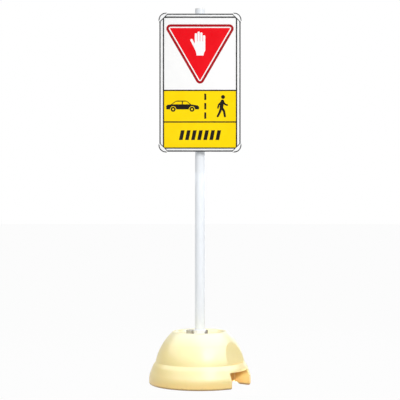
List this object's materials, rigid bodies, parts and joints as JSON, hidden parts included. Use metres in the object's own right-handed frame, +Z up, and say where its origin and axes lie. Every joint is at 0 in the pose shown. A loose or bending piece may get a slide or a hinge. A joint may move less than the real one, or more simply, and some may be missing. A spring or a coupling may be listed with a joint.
{
  "type": "portable sign stand",
  "caption": "Framed upright sign clamped to a round pole that stands in a fillable domed base with hand holds.",
  "frame": {"origin": "on the floor, under the middle of the pole and of the round base", "axes": "+Z up along the pole; the sign faces -Y; +X is to the viewer's right"},
  "size_m": [0.505, 0.5048, 1.865],
  "materials": {
    "tank_plastic": "moulded, slightly glossy",
    "white_plastic": "moulded",
    "zinc_steel": "zinc plated",
    "seal_rubber": "matt",
    "cap_plastic": "moulded",
    "plug_plastic": "moulded",
    "pole_paint": "gloss white coat",
    "edge_rubber": "matt",
    "printed_sheet": "printed, weatherproof",
    "panel_board": "plain board",
    "frame_metal": "white coat",
    "rail_steel": "galvanised",
    "block_plastic": "moulded",
    "rivet_metal": "plain"
  },
  "bodies": {
    "base": {"base_tank": "tank_plastic", "pole_collar": "white_plastic"},
    "cap_seal": {"cap_gasket": "seal_rubber"},
    "cap": {"filler_cap": "cap_plastic"},
    "lock": {"lock_bolt": "zinc_steel"},
    "foot": {"pole_foot_plug": "plug_plastic"},
    "pole": {"pole_tube": "pole_paint", "pole_top_cap": "white_plastic"},
    "sign": {"edge_band": "edge_rubber", "panel_gasket": "edge_rubber", "face_sheet": "printed_sheet", "sign_panel": "panel_board", "frame_top": "frame_metal", "frame_bottom": "frame_metal", "frame_left": "frame_metal", "frame_right": "frame_metal", "corner_guard_top_right": "white_plastic", "corner_guard_top_left": "white_plastic", "corner_guard_bottom_left": "white_plastic", "corner_guard_bottom_right": "white_plastic", "back_rail_upper": "rail_steel", "back_rail_lower": "rail_steel", "clamp_block_upper": "block_plastic", "clamp_block_lower": "block_plastic", "clamp_strap_upper": "zinc_steel", "clamp_strap_lower": "zinc_steel", "clamp_bolts": "zinc_steel", "clamp_washers": "zinc_steel", "clamp_nuts": "zinc_steel", "rail_rivets": "rivet_metal", "guard_rivets": "rivet_metal"}
  },
  "joints": [
    {"name": "pole_lift", "type": "slide", "parent": "base", "child": "foot", "axis": [0, 0, 1], "range_m": [0, 0.26]},
    {"name": "pole_turn", "type": "hinge", "parent": "foot", "child": "pole", "pos_m": [0, 0, 0.021], "axis": [0, 0, 1], "continuous": true},
    {"name": "sign_height", "type": "slide", "parent": "pole", "child": "sign", "axis": [0, 0, 1], "range_m": [-0.84, 0.14]},
    {"name": "cap_rise", "type": "slide", "parent": "base", "child": "cap_seal", "axis": [0, 0, 1], "range_m": [0, 0.0151]},
    {"name": "cap_turn", "type": "hinge", "parent": "cap_seal", "child": "cap", "pos_m": [-0.04657, 0.04048, 0.258], "axis": [0, 0, 1], "range_deg": [0, 900]},
    {"name": "lock_bolt_turn", "type": "hinge", "parent": "base", "child": "lock", "pos_m": [0.02758, -0.02314, 0.255], "axis": [0.766, -0.6428, 0], "range_deg": [0, 1080]}
  ],
  "couplings": [
    {"joint": "cap_rise", "follows": "cap_turn", "m_per_rad": 0.00095493}
  ]
}
